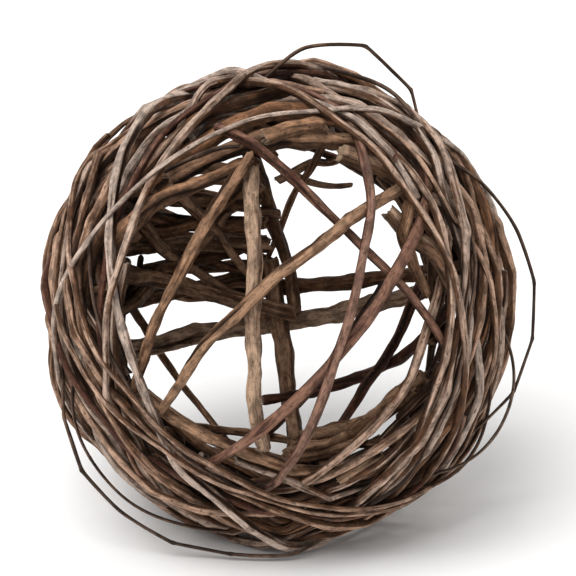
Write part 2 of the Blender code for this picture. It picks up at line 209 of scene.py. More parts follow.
def near_twigs(slot, *rows):
    """Twigs on the near side, each with a name of its own."""
    return tuple(Short(name, FRONT, *row, slot) for name, *row in rows)


BACK_LEFT_FILLS = far_sticks(
    "back_left_fill",
    ((-0.86, 0.40), (-0.46, 0.30), (-0.14, 0.30), 0.0034, -0.002, 0.006),
    ((-0.90, 0.30), (-0.50, 0.24), (-0.05, 0.13), 0.0038, -0.003, 0.007),
    ((-0.90, 0.04), (-0.52, 0.03), (-0.10, 0.07), 0.0036, -0.001, 0.005),
    ((-0.71, 0.56), (-0.44, 0.48), (-0.03, 0.42), 0.0040, -0.002, 0.005),
    ((-0.80, -0.06), (-0.50, 0.20), (-0.1, 0.60), 0.0038, -0.004, 0.0),
    ((-0.56, 0.63), (-0.34, 0.60), (-0.12, 0.64), 0.0042, -0.003, 0.005),
    ((-0.82, 0.24), (-0.44, 0.42), (-0.12, 0.72), 0.0036, -0.003, 0.0),
    ((-0.74, 0.16), (-0.36, 0.06), (-0.16, 0.00), 0.0030, -0.001, 0.007),
    ((-0.66, 0.62), (-0.38, 0.40), (-0.14, 0.12), 0.0034, -0.005, 0.0),
    ((-0.49, 0.73), (-0.28, 0.74), (-0.02, 0.73), 0.0038, -0.003, 0.003),
    ((-0.60, 0.40), (-0.30, 0.52), (-0.10, 0.58), 0.0034, 0.000, 0.005),
    ((-0.72, 0.34), (-0.40, 0.14), (-0.04, -0.08), 0.0034, -0.003, 0.0),
    ((-0.84, 0.12), (-0.46, 0.10), (-0.13, 0.16), 0.0036, 0.000, 0.006),
    ((-0.76, 0.47), (-0.50, 0.37), (-0.06, 0.20), 0.0036, -0.001, 0.006),
)
BACK_UPPER_TWIGS = far_sticks(
    "back_upper_twig",
    ((0.0, 0.56), (0.20, 0.62), (0.42, 0.72), 0.0022, 0.000, 0.0),
    ((-0.04, 0.66), (0.14, 0.56), (0.32, 0.56), 0.0020, 0.002, 0.0),
    ((0.14, 0.84), (0.36, 0.76), (0.62, 0.50), 0.0040, 0.002, 0.0),
    ((-0.10, 0.86), (0.20, 0.84), (0.50, 0.72), 0.0044, -0.002, 0.0),
)
BACK_RIGHT_TWIGS = far_sticks(
    "back_right_twig",
    ((0.50, 0.62), (0.66, 0.40), (0.82, 0.10), 0.0040, 0.001, 0.0),
    ((0.60, 0.62), (0.74, 0.24), (0.72, -0.16), 0.0034, -0.002, 0.0),
    ((0.44, 0.74), (0.62, 0.56), (0.80, 0.32), 0.0036, -0.003, 0.0),
)
BACK_LOW_FILLS = far_sticks(
    "back_low_fill",
    ((-0.60, -0.60), (-0.20, -0.72), (0.26, -0.76), 0.0040, 0.001, 0.0),
    ((-0.50, -0.72), (0.02, -0.82), (0.50, -0.76), 0.0042, 0.000, 0.0),
    ((-0.34, -0.84), (0.16, -0.88), (0.64, -0.66), 0.0040, 0.002, 0.0),
    ((-0.76, -0.40), (-0.48, -0.66), (-0.10, -0.84), 0.0036, -0.002, 0.0),
)
LOW_WIRES = near_twigs(
    "dark_wisp",
    ("low_wire_left", (-0.90, -0.36), (-0.60, -0.78), (-0.10, -0.985), 0.0010, 0.001, 0.006),
    ("low_wire_right", (0.50, -0.80), (0.80, -0.58), (0.92, -0.30), 0.0010, 0.001, 0.006),
    ("low_wire_far_right", (0.60, -0.74), (0.86, -0.47), (0.97, -0.06), 0.0009, 0.001, 0.007),
)
STUBS_AND_TOP_STICK = near_twigs(
    "tan_stick",
    ("stub_of_top_stick", (-0.06, 0.69), (0.08, 0.735), (0.20, 0.745), 0.0050, 0.000, 0.0),
    ("stub_of_low_stick", (0.45, -0.67), (0.36, -0.73), (0.27, -0.77), 0.0036, -0.001, 0.0),
    ("stub_of_left_stick", (-0.93, 0.10), (-0.88, 0.09), (-0.82, 0.07), 0.0040, -0.003, 0.0),
    ("second_top_stick", (0.30, 0.71), (0.46, 0.65), (0.66, 0.52), 0.0046, -0.002, 0.0),
)
INNER_STICK = near_twigs(
    "brown_stick",
    ("right_inner_stick", (0.60, 0.44), (0.66, 0.26), (0.72, 0.02), 0.0033, -0.002, 0.0),
)
TOP_TWIG = near_twigs(
    "dark_wisp",
    ("top_left_twig", (-0.52, 0.62), (-0.36, 0.68), (-0.18, 0.70), 0.0014, -0.002, 0.0),
)

FAR_SIDE = BACK_LEFT_FILLS + BACK_UPPER_TWIGS + BACK_RIGHT_TWIGS + BACK_LOW_FILLS
NEAR_SIDE = LOW_WIRES + STUBS_AND_TOP_STICK + INNER_STICK + TOP_TWIG

# How the shoots find their places: they start as planned, and are pushed out of whatever they meet.
SHOOT_STEP = 0.0024  # between two points of a shoot
SOLID_STEP = 0.0016  # between two points of a solid's middle line
LEAST_STEPS = 6  # in any line
PLAN_SEED = 7
STRAY_OUT, STRAY_OUT_LENGTH = 0.0012, 0.09  # how far a shoot strays out and in, and over what length
STRAY_ASIDE, STRAY_ASIDE_LENGTH = 0.0022, 0.11
SHOOT_TAPER = 0.35  # how much thinner a shoot is at its last end, as a share
NEAR = 0.007  # strands further off than this are left out of a watch
WATCHES = 12  # the pairs that lie near each other are found once in each
LAST_WATCHES = 3  # those that smooth less
STEPS_PER_WATCH = 14
SMOOTH, LAST_SMOOTH = 0.30, 0.04  # how strongly a shoot evens out its bends in a step, at first and at last
STRAND_GAP = 0.0002  # kept to a strand and to the floor
SHOOT_GAP = 0.0001  # kept to another shoot
OUTER_ROOM = 0.0022  # how far outside the solids' box a shoot may reach
TINY = 1e-9  # keeps a distance above zero
COVER_REACH = 0.0065  # strands further off than this don't cover a place
COVER_STEP = 0.0009  # a strand counts as further out from this on
COVER_FULL = 0.034  # metres of strand over a place that hide it wholly


def seen_vector(across, up, toward):
    """A vector given as it is seen: to the right, up, and towards the viewer."""
    right = np.array((1.0, 0.0, 0.0))
    upward = np.array((0.0, math.sin(SEEN_FROM), math.cos(SEEN_FROM)))
    viewer = np.array((0.0, -math.cos(SEEN_FROM), math.sin(SEEN_FROM)))
    return across * right + up * upward + toward * viewer


def seen_direction(across, up, side):
    """The direction from the ball's middle to a place on its near or far side."""
    vector = seen_vector(across, up, side * math.sqrt(max(0.0, 1.0 - across**2 - up**2)))
    return vector / np.linalg.norm(vector)


def arc(middle, one_way, other_way, angles):
    """Points middle + cos(a) one_way + sin(a) other_way, for all the angles at once."""
    return middle + np.cos(angles)[:, None] * one_way + np.sin(angles)[:, None] * other_way


def steps_along(turn):
    """The number of points on an arc of so many radians."""
    return max(LEAST_STEPS, round(turn * SHELL_RADIUS / SHOOT_STEP)) + 1


def round_plan(shoot):
    """A great circle, from its start angle past the top and down the front."""
    lean, tip = math.radians(shoot.lean), math.radians(shoot.tip)
    top = seen_vector(-math.sin(lean) * math.cos(tip), math.cos(lean) * math.cos(tip), math.sin(tip))
    bulge = seen_direction(shoot.across * math.cos(lean), shoot.across * math.sin(lean), FRONT)
    bulge = bulge - bulge.dot(top) * top
    bulge = bulge / np.linalg.norm(bulge)
    first, sweep = math.radians(shoot.start), math.radians(shoot.sweep)
    return arc(np.zeros(3), top, bulge, np.linspace(first, first + sweep, steps_along(sweep)))


def short_plan(shoot):
    """The circle through the twig's three places, from the first by way of the middle one to the last."""
    a, b, c = (seen_direction(*place, shoot.side) for place in (shoot.first, shoot.middle, shoot.last))
    pole = np.cross(b - a, c - a)
    pole = pole / np.linalg.norm(pole)
    middle = a.dot(pole) * pole
    size = np.linalg.norm(a - middle)
    one_way = (a - middle) / size
    other_way = np.cross(pole, one_way)
    sweep = math.atan2((c - middle).dot(other_way), (c - middle).dot(one_way)) % math.tau
    angles = np.linspace(0.0, sweep, steps_along(sweep * size))
    return arc(middle, size * one_way, size * other_way, angles)


def apart_squared(ones, others):
    """The square of the distance between each point of one list and each of the other."""
    return (ones**2).sum(axis=1)[:, None] + (others**2).sum(axis=1)[None, :] - 2.0 * ones @ others.T


def push(gap, reach):
    """The push on the first ball of each pair, where `reach` is the distance at which the two are clear."""
    distance = np.linalg.norm(gap, axis=1) + TINY
    return gap / distance[:, None] * np.maximum(0.0, reach - distance)[:, None]


class Shoots:
    """The points of the strands that have no solid, pushed out of those that have one and of each other.

    Every point is a small ball. Two balls that overlap are pushed apart along the line between them, the
    shoots' points evenly and the strands' not at all. After each push a point's offset from its plan is
    drawn to the mean of its neighbours' offsets, so a shoot bends softly over what it crosses."""

    def __init__(self):
        plans, self.radii, self.names, self.slots = [], [], [], []
        chance = np.random.default_rng(PLAN_SEED)
        planned = [(name, shoot, round_plan(shoot), 0.0) for name, shoot in zip(ROUND_NAMES, ROUNDS)]
        planned += [(shoot.name, shoot, short_plan(shoot), shoot.proud) for shoot in FAR_SIDE + NEAR_SIDE]
        for name, shoot, directions, proud in planned:
            portion = np.linspace(0.0, 1.0, len(directions))
            along = portion * len(directions) * SHOOT_STEP
            distance = SHELL_RADIUS + shoot.lift + proud * np.sin(math.pi * portion)
            distance = distance + STRAY_OUT * wandering(along, STRAY_OUT_LENGTH, chance)
            side = np.cross(directions, np.gradient(directions, axis=0))
            side = side / np.linalg.norm(side, axis=1)[:, None]
            aside = STRAY_ASIDE * wandering(along, STRAY_ASIDE_LENGTH, chance)
            plans.append(BALL_MIDDLE + directions * distance[:, None] + side * aside[:, None])
            self.radii.append(0.5 * shoot.girth * (1.0 - SHOOT_TAPER * portion))
            self.names.append(name)
            self.slots.append(shoot.slot)
        self.ends = np.cumsum([0] + [len(plan) for plan in plans])
        self.plan = np.concatenate(plans)
        self.points = self.plan.copy()
        self.radius = np.concatenate(self.radii)
        solid_points, solid_radii = [], []
        for middles, radii in LINES.values():
            reach = length_along(middles)
            even = np.linspace(0.0, reach[-1], round(reach[-1] / SOLID_STEP) + 2)
            solid_points.append(points_at(even, reach, middles))
            solid_radii.append(np.interp(even, reach, radii))
        self.solid_points = np.concatenate(solid_points)
        self.solid_radii = np.concatenate(solid_radii)
        self.settle()

    def cover(self, places):
        """How deep each place lies under other strands, from 0 to 1, for the painted shade there: the sum
        over the points of strands that lie further out of their step times 1 - (distance / COVER_REACH)^2,
        divided by
        COVER_FULL."""
        out = np.linalg.norm(places - BALL_MIDDLE, axis=1)
        total = np.zeros(len(places))
        for points, weight in ((self.solid_points, SOLID_STEP), (self.points, SHOOT_STEP)):
            further = np.linalg.norm(points - BALL_MIDDLE, axis=1)[None, :] > out[:, None] + COVER_STEP
            near = np.maximum(0.0, 1.0 - apart_squared(places, points) / COVER_REACH**2)
            total += weight * (near * further).sum(axis=1)
        return np.clip(total / COVER_FULL, 0.0, 1.0)

    def near(self):
        """The pairs that lie near each other: a shoot's point with a strand's, then with another shoot's."""
        mine, strands, ones, others = [], [], [], []
        for number in range(len(self.names)):
            place = slice(self.ends[number], self.ends[number + 1])
            here = self.points[place]
            rows, columns = np.nonzero(apart_squared(here, self.solid_points) < NEAR**2)
            mine.append(rows + place.start)
            strands.append(columns)
            rows, columns = np.nonzero(apart_squared(here, self.points[place.stop :]) < NEAR**2)
            ones.append(rows + place.start)
            others.append(columns + place.stop)
        return tuple(np.concatenate(each) for each in (mine, strands, ones, others))

    def gathered(self, indices, pushes):
        """The mean push on every point, from all its pairs."""
        total = np.zeros_like(self.points)
        count = np.zeros(len(self.points))
        np.add.at(total, indices, pushes)
        np.add.at(count, indices, np.linalg.norm(pushes, axis=1) > 0)
        return total / np.maximum(1.0, count)[:, None]

    def settle(self):
        """Pushes the points out of what they overlap, smooths the shoots, and keeps them over the floor."""
        low = np.array(CAD_BOX[0]) - OUTER_ROOM
        high = np.array(CAD_BOX[1]) + OUTER_ROOM
        inner = np.ones(len(self.points), dtype=bool)
        inner[self.ends[:-1]] = False
        inner[self.ends[1:] - 1] = False
        inner = np.nonzero(inner)[0]
        for watch in range(WATCHES):
            mine, strands, ones, others = self.near()
            indices = np.concatenate([mine, ones, others])
            strand_reach = self.radius[mine] + self.solid_radii[strands] + STRAND_GAP
            shoot_reach = self.radius[ones] + self.radius[others] + SHOOT_GAP
            smooth = SMOOTH if watch < WATCHES - LAST_WATCHES else LAST_SMOOTH
            for step in range(STEPS_PER_WATCH):
                pushes = push(self.points[mine] - self.solid_points[strands], strand_reach)
                between = 0.5 * push(self.points[ones] - self.points[others], shoot_reach)
                self.points += self.gathered(indices, np.concatenate([pushes, between, -between]))
                offset = self.points - self.plan
                mean = 0.5 * (offset[inner - 1] + offset[inner + 1])
                offset[inner] += smooth * (mean - offset[inner])
                self.points = self.plan + offset
                self.points = np.clip(self.points, low + self.radius[:, None], high - self.radius[:, None])
                self.points[:, 2] = np.maximum(self.points[:, 2], self.radius + STRAND_GAP)


# Sizes and colours that a user would change.


def colour(name, description, default):
    return bpy.props.FloatVectorProperty(
        name=name, description=description, default=default, subtype="COLOR", size=3, min=0.0, max=1.0
    )


def length(name, description, default):
    return bpy.props.FloatProperty(
        name=name, description=description, default=default, subtype="DISTANCE", unit="LENGTH", precision=5
    )


def share(name, description, default):
    return bpy.props.FloatProperty(
        name=name, description=description, default=default, soft_min=0.0, soft_max=1.0
    )


class StrandSizes(bpy.types.PropertyGroup):
    """Form of the vines and twigs."""

    step: length("Step", "Distance between two rings of a strand's surface", 0.0009)
    bark: length("Bark", "How far the bark stands out past the solid", 0.00022)
    oval: share("Oval", "How flat a strand is, as a share of its radius", 0.09)
    rib: share("Rib", "Depth of the furrows along a strand, as a share of its radius", 0.10)
    rough: share("Roughness", "Height of the bark's small lumps, as a share of the radius", 0.34)
    crack: share("Crack", "Depth of the split along some stretches, as a share of the radius", 0.30)
    swell: share("Swell", "How much thicker a strand is at a node, as a share of its radius", 0.13)


class BarkColours(bpy.types.PropertyGroup):
    """Colours of bark, bare wood and painted shade."""

    # The pale colours show on weathered stripes and rubbed places, and also as painted highlight on the
    # outward side and the ridges.
    vine: colour("Vine", "Brown bark of the vines", (0.090, 0.042, 0.021))
    vine_pale: colour("Vine pale", "Weathered stripes and painted highlight of the vines", (0.43, 0.335, 0.275))
    stick: colour("Stick", "Brown bark of the sticks", (0.085, 0.040, 0.020))
    stick_pale: colour("Stick pale", "Rubbed places and painted highlight of the sticks", (0.28, 0.165, 0.100))
    red: colour("Red twig", "Red-brown bark of the smooth twigs", (0.070, 0.027, 0.016))
    red_pale: colour("Red twig pale", "Rubbed places and painted highlight of the smooth twigs", (0.20, 0.112, 0.080))
    tan: colour("Tan stick", "Dry tan sticks", (0.120, 0.064, 0.037))
    tan_pale: colour("Tan stick pale", "Bare fibres and painted highlight of the dry sticks", (0.33, 0.222, 0.150))
    wisp: colour("Wisp", "Thin dark shoots", (0.036, 0.022, 0.016))
    wisp_pale: colour("Wisp pale", "Painted highlight side and pale stripes of the thin shoots", (0.14, 0.095, 0.070))
    # Painted shade: this colour darkens the furrows, the inward side and the places under other strands, and
    # it also colours the dark spots.
    shade_and_spots: colour("Shade and spots", "Painted shade in furrows, on the inward side and under other strands; dark spots", (0.010, 0.0036, 0.0012))
    cut: colour("Cut wood", "Wood of the cut ends", (0.38, 0.265, 0.175))


class StageSizes(bpy.types.PropertyGroup):
    """Floor and camera."""

    distance: length("Camera distance", "From the camera to the middle of the ball", 1.15)
    elevation: bpy.props.FloatProperty(
        name="Elevation", description="Camera height above the horizon", default=SEEN_FROM, subtype="ANGLE"
    )
    margin: share("Margin", "Width of the picture as a share of the ball's", 1.17)
    floor: colour("Floor", "Pale floor and wall", (0.92, 0.916, 0.912))


# Surfaces.

FINE = 24  # steps of the curve between two points, before it is laid out evenly
CAP_SIZES = np.array((1.0, 0.93, 0.84, 0.5, 0.18))  # rings of a cut end, as shares of the ring before them
CAP_HEIGHTS = np.array((0.0, 0.10, 0.13, 0.11, 0.07))  # how far out they lie, as shares of the radius
CAP_BARE = np.array((0.0, 0.7, 1.0, 1.0, 1.0))  # how bare their wood is
CUT_TILT = 0.25  # how far a cut is off square, as a slope
SPLINTERS = (-0.2, 1.0)  # how far out its splinters reach, each a number in between to the third power
SPLINTER_CHANGE = (0.6, 1.4)  # how that differs from one ring to the next

SINES = 3  # in a wander
SHORTER = 1.9  # how much shorter and lower each sine is than the last

# The form of a strand. A name that ends in LENGTH is how far along it the value before takes to come and go.
CORNER, BEND = 0.15, 0.9  # how softly it passes its corners, and its other points
TWIST, TWIST_LENGTH = 1.2, 0.11  # how far its section turns, in radians
FURROW_SETS = (3, 5, 7)  # furrows around it, in sets laid over each other
DRIFT, DRIFT_LENGTH = 0.8, 0.03  # how far a set strays around it, in radians
FURROW_MEAN, FURROW_CHANGE, FURROW_LENGTH = 0.6, 0.4, 0.018
FURROW_SINK = 0.5  # how far the furrowed bark sinks, as a share of the furrows' depth
CRACK_OPEN, CRACK_LENGTH = 2.5, 0.09
CRACK_SIDE, CRACK_WIDTH = 1.0, 0.42  # where it runs around the strand and how wide it is, in radians
SWELLING_SPAN, SCAR_SPAN, SCAR_WIDTH = 1.2, 0.7, 0.6  # spans along it in radii, and a width around it
SWELLING_HEIGHT, SCAR_HEIGHT = 0.8, 1.2
GIRTH_CHANGE, GIRTH_LENGTH = 0.05, 0.02
# The first is painted shade in the crack, the second darker bark at the nodes.
CRACK_DARK, SWELLING_DARK = 1.6, 0.6
SPOTS_APART = 40.0  # metres over which the strands' grain is spread, so that no two look alike
# Lying covered takes some tone off the whole strand, as painted shade.
TONE_LEAST, TONE_CHANGE, TONE_COVERED = 0.5, 0.7, 0.6  # tone, what chance adds, what lying covered takes off


def wandering(along, period, chance):
    """A smooth wander between -1 and 1: a sum of sines with random phases, each shorter than the last."""
    total = np.zeros_like(along)
    for sine in range(SINES):
        shorter = SHORTER**sine
        total += np.sin(math.tau * along * shorter / period + chance.uniform(0, math.tau)) / shorter
    return total / sum(SHORTER**-sine for sine in range(SINES))


def smooth_curve(points, radii, softness, step):
    """The points joined by cubics, in even steps: position, radius, distance along, and the distance along
    to each of the points. With t from 0 to 1 between the points a and b, a cubic is (2t^3 - 3t^2 + 1) a +
    (3t^2 - 2t^3) b + (t^3 - 2t^2 + t) p + (t^3 - t^2) q. The pull of a point, p at a and q at b, is half the
    way from the point before it to the one after, times its softness. At softness 0 it is a corner."""
    before = np.concatenate([[2 * points[0] - points[1]], points[:-1]])
    after = np.concatenate([points[1:], [2 * points[-1] - points[-2]]])
    pulls = 0.5 * (after - before) * softness[:, None]
    t = np.linspace(0.0, 1.0, FINE, endpoint=False)[None, :, None]
    a, b, p, q = points[:-1, None], points[1:, None], pulls[:-1, None], pulls[1:, None]
    curve = (2 * t**3 - 3 * t**2 + 1) * a + (3 * t**2 - 2 * t**3) * b
    curve = curve + (t**3 - 2 * t**2 + t) * p + (t**3 - t**2) * q
    curve = np.concatenate([curve.reshape(-1, 3), points[-1:]])
    reach = length_along(curve)
    along = np.linspace(0.0, reach[-1], max(LEAST_STEPS, round(reach[-1] / step)) + 1)
    return points_at(along, reach, curve), np.interp(along, reach[::FINE], radii), along, reach[::FINE]


def sides_of(centre):
    """Unit vectors along a middle line, outwards from the ball, and sideways."""
    tangent = np.gradient(centre, axis=0)
    tangent /= np.linalg.norm(tangent, axis=1)[:, None]
    outward = centre - BALL_MIDDLE
    outward = outward - (outward * tangent).sum(axis=1)[:, None] * tangent
    outward /= np.linalg.norm(outward, axis=1)[:, None]
    return tangent, outward, np.cross(tangent, outward)


def bumps(value, places, width):
    """A sum of bell shapes over `value`, one at each place."""
    return np.exp(-(((value[:, None] - places[None, :]) / width) ** 2)).sum(axis=1)


def bell_around(angles, way, width):
    """A bell shape around a strand, highest at the angle `way`."""
    return np.exp(-((((angles - way + math.pi) % math.tau - math.pi) / width) ** 2))


def lumps(shape, chance):
    """Small lumps on a grid: random heights, evened out over a few rings along and once around."""
    heights = chance.normal(0.0, 1.0, shape)
    for shift, axis in ((1, 0), (2, 0), (1, 1)):
        both = np.roll(heights, shift, axis=axis) + np.roll(heights, -shift, axis=axis)
        heights = 0.5 * heights + 0.25 * both
    return heights


# How one kind of strand differs from the plain sizes. `rib`, `swell`, `crack` and `girth` are factors on
# them, `splinter` is how ragged its ends are, `sharp` the share of its points that are corners, and `around`
# how many points lie around it. `inward` is how dark its inward side is painted, as painted shade, below
# zero where that side is painted as the lit one, and `paler` how much paler than the others it is painted,
# as painted light on strands that lie in shade.
Look = namedtuple(
    "Look",
    "rib swell crack splinter girth sharp around inward paler",
    defaults=(1.0, 1.0, 1.0, 0.3, 1.0, 0.35, 22, 0.4, 0.0),
)


class Surface:
    """Points, faces and bark values of one strand, as arrays.

    A point is middle(u) + radius(u) * form(u, v) * (cos v * outward(u) + sin v * sideways(u)). The form is 1
    less a flat oval, furrows and a crack, all turning slowly along the strand, plus swellings and scars at
    its nodes and small lumps all over. Each end is closed by smaller rings of bare wood that are tilted and,
    by `splinter`, ragged."""

    def __init__(self, points, radii, chance, sizes, look):
        softness = np.where(chance.random(len(points)) < look.sharp, CORNER, BEND)
        girths = radii * look.girth + sizes.bark
        centre, radius, along, reach = smooth_curve(points, girths, softness, sizes.step)
        tangent, outward, sideways = sides_of(centre)
        nodes = reach[1:-1][softness[1:-1] == CORNER]
        turn = np.arange(look.around) * math.tau / look.around
        twist = chance.uniform(0, math.tau) + TWIST * wandering(along, TWIST_LENGTH, chance)
        angles = turn[None, :] + twist[:, None]
        thick = radius.mean()

        furrows = np.zeros_like(angles)
        for waves in FURROW_SETS:
            drift = chance.uniform(0, math.tau) + DRIFT * wandering(along, DRIFT_LENGTH, chance)
            height = FURROW_MEAN + FURROW_CHANGE * wandering(along, FURROW_LENGTH, chance)
            furrows += height[:, None] * np.cos(waves * angles + drift[:, None]) / len(FURROW_SETS)
        split = np.clip(CRACK_OPEN * wandering(along, CRACK_LENGTH, chance), 0.0, 1.0)[:, None]
        crack = split * bell_around(angles, CRACK_SIDE, CRACK_WIDTH)
        swelling = bumps(along, nodes, SWELLING_SPAN * thick)[:, None]
        scar = np.zeros_like(angles)
        for node, way in zip(nodes, chance.uniform(0, math.tau, len(nodes))):
            here = bumps(along, np.array([node]), SCAR_SPAN * thick)[:, None]
            scar += here * bell_around(angles, way, SCAR_WIDTH)
        form = 1.0 + sizes.oval * (np.cos(2 * angles) - 1.0)
        form = form + look.rib * sizes.rib * (furrows - FURROW_SINK)
        form -= look.crack * sizes.crack * crack
        form += look.swell * sizes.swell * (SWELLING_HEIGHT * swelling + SCAR_HEIGHT * scar)
        form += look.rib * sizes.rough * lumps(angles.shape, chance)
        form *= 1.0 + GIRTH_CHANGE * wandering(along, GIRTH_LENGTH, chance)[:, None]

        spoke = np.cos(turn)[:, None] * outward[:, None, :] + np.sin(turn)[:, None] * sideways[:, None, :]
        body = centre[:, None, :] + (radius[:, None] * form)[:, :, None] * spoke
        caps = [
            self.cap(body[0], centre[0], -tangent[0], radius[0], look.splinter, chance),
            self.cap(body[-1], centre[-1], tangent[-1], radius[-1], look.splinter, chance),
        ]
        self.close(body, caps)
        # Painted light and shade: the outward side is painted paler and the inward side darker, scaled by
        # `inward`.
        lit_side = np.where(np.cos(turn) < 0.0, look.inward, 1.0) * np.cos(turn)
        # The ribs paint highlight on the ridges and shade in the furrows and in the crack.
        ribs = furrows - CRACK_DARK * crack
        knots = SWELLING_DARK * np.clip(swelling, 0, 1) + np.clip(scar, 0, 1)
        self.set_values(turn, lit_side, ribs, knots, along, radius, chance, look.paler)

    def cap(self, ring, middle, way, radius, splinter, chance):
        """Smaller and smaller rings over a cut end: a rounded edge, then a tilted and ragged face."""
        lean = ring - middle
        tilt = lean @ chance.normal(0.0, CUT_TILT, 3)
        ragged = splinter * radius * chance.uniform(*SPLINTERS, len(ring)) ** 3
        rings = []
        for size, out in zip(CAP_SIZES, CAP_HEIGHTS):
            rough = 0.0
            if size < 1.0:
                rough = ragged * size * chance.uniform(*SPLINTER_CHANGE, len(ring))
            rings.append(middle + lean * size + way * (out * radius + tilt * size + rough)[:, None])
        return np.array(rings)

    def close(self, body, caps):
        """Lays the caps and the body end to end, and closes both tips."""
        grid = np.concatenate([caps[0][::-1], body[1:-1], caps[1]])
        self.shape = grid.shape[:2]
        count, around = self.shape
        self.points = np.concatenate([grid.reshape(-1, 3), [grid[0].mean(axis=0), grid[-1].mean(axis=0)]])
        self.points[:, 2] = np.maximum(self.points[:, 2], 0.0)
        ring = np.arange(around)
        following = (ring + 1) % around
        start = (np.arange(count - 1) * around)[:, None]
        corners = [start + ring, start + following, start + around + following, start + around + ring]
        self.quads = np.stack(corners, axis=2).reshape(-1, 4)
        first_tip, last_tip, last_ring = count * around, count * around + 1, (count - 1) * around
        opening = np.stack([np.full(around, first_tip), following, ring], axis=1)
        closing = np.stack([np.full(around, last_tip), last_ring + ring, last_ring + following], axis=1)
        self.triangles = np.concatenate([opening, closing])

    def set_values(self, turn, lit_side, ribs, knots, along, radius, chance, paler):
        """Grain: place around and along in metres. Bark: outward side and ribs, for painted light and shade,
        and
        nodes. Cut: bare wood. Cover: how deep it lies under others, for painted shade. Tone: a number of the
        strand's own, higher for a paler one and lower for one that lies covered, as painted shade."""
        count, around = self.shape
        inset = len(CAP_SIZES)
        more = ((inset - 1, inset - 1), (0, 0))
        ribs, knots = np.pad(ribs, more, mode="edge"), np.pad(knots, more, mode="edge")
        along = np.pad(along, inset - 1, mode="edge")
        across = np.pad(radius, inset - 1, mode="edge")
        across[:inset] *= CAP_SIZES[::-1]
        across[-inset:] *= CAP_SIZES
        cut = np.zeros(count)
        cut[:inset] = CAP_BARE[::-1]
        cut[-inset:] = CAP_BARE
        spot = chance.uniform(0.0, SPOTS_APART)
        flat = np.ones((count, around))
        round_it = [across[:, None] * np.cos(turn), across[:, None] * np.sin(turn)]
        grain = np.stack([*round_it, (along[:, None] + spot) * flat], axis=2)
        tips = [[0.0, 0.0, along[0] + spot], [0.0, 0.0, along[-1] + spot]]
        self.grain = np.concatenate([grain.reshape(-1, 3), tips])
        bark = np.stack([lit_side * flat, ribs, knots * flat], axis=2)
        self.bark = np.concatenate([bark.reshape(-1, 3), np.zeros((2, 3))])
        self.cut = np.append(np.repeat(cut, around), [1.0, 1.0])
        # Painted shade: places that lie under other strands are darkened, and so is the tone of a covered
        # strand.
        cover = wound().cover(self.points[:-2].reshape(count, around, 3).mean(axis=1))
        self.cover = np.append(np.repeat(cover, around), [cover[0], cover[-1]])
        tone = TONE_CHANGE * chance.uniform() + TONE_LEAST - TONE_COVERED * cover.mean() + paler
        self.tone = np.full(len(self.points), np.clip(tone, 0.0, 1.0))


def put_in(name, data):
    """A new object of the scene, for a mesh, a light or a camera."""
    thing = bpy.data.objects.new(name, data)
    bpy.context.scene.collection.objects.link(thing)
    return thing


def add_piece(name, surface, material):
    """A mesh piece with the surface's points, faces and bark values, riding on the ball."""
    mesh = bpy.data.meshes.new(name)
    loops = np.concatenate([surface.quads.ravel(), surface.triangles.ravel()])
    sizes = np.concatenate([np.full(len(surface.quads), 4), np.full(len(surface.triangles), 3)])
    mesh.vertices.add(len(surface.points))
    mesh.vertices.foreach_set("co", surface.points.ravel())
    mesh.loops.add(len(loops))
    mesh.loops.foreach_set("vertex_index", loops)
    mesh.polygons.add(len(sizes))
    mesh.polygons.foreach_set("loop_start", np.concatenate([[0], np.cumsum(sizes)[:-1]]))
    mesh.update(calc_edges=True)
    mesh.validate()
    mesh.shade_smooth()
    for attribute, values in (("grain", surface.grain), ("bark", surface.bark)):
        layer = mesh.attributes.new(attribute, "FLOAT_VECTOR", "POINT")
        layer.data.foreach_set("vector", values.astype(np.float32).ravel())
    for attribute, values in (("cut", surface.cut), ("tone", surface.tone), ("cover", surface.cover)):
        layer = mesh.attributes.new(attribute, "FLOAT", "POINT")
        layer.data.foreach_set("value", values.astype(np.float32))
    mesh.materials.append(material)
    piece = put_in(name, mesh)
    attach(piece, "root")
    return piece


# Bark.

# Noise along a strand: lumps to the metre around it and along it, then detail, roughness and distortion.
Grain = namedtuple("Grain", "around along detail roughness distortion")
STRIPES = Grain(900.0, 55.0, 3.0, 0.6, 0.4)
FIBRES = Grain(3600.0, 160.0, 4.0, 0.65, 0.0)
PATCHES = Grain(230.0, 90.0, 4.0, 0.6, 0.8)
FLECKS = Grain(1500.0, 700.0, 2.0, 0.7, 0.0)
BLOTCHES = Grain(420.0, 260.0, 3.0, 0.65, 0.5)
CUT_WOOD = Grain(2600.0, 300.0, 3.0, 0.6, 0.0)
PORES_AROUND, PORES_ALONG = 1100.0, 520.0

# How much each thing counts in how pale the bark is, and in how dark. The lit side and the ribs paint
# highlight and shade, and the cover paints shade under other strands.
PALE_LIT_SIDE, PALE_RIB, PALE_TONE, PALE_COVER, PALE_PATCH = 0.22, 0.26, 0.40, -0.30, 0.8
DARK_LIT_SIDE, DARK_RIB, DARK_COVER = -0.30, -0.34, 0.62
# The first of these is how fully the painted shade covers the bark.
PAINTED_SHADE_MOST, SPOT_MOST, SCAR_MOST, CUT_MOST = 0.96, 0.68, 0.45, 0.92  # how fully each covers the bark
WARM_TINT = (0.86, 0.68, 0.56)  # on the pale colour of some strands
WARM_SPREAD = 7.0  # the last digits of a strand's tone times this say how warm it is
DARK_WOOD = 0.55  # how bright the darker wood of scars and cut ends is, as a share of the paler
PALE_FROM, PALE_TO = (0.72, -0.4), (1.02, -0.3)  # where bark pales: a number, and how paleness shifts it

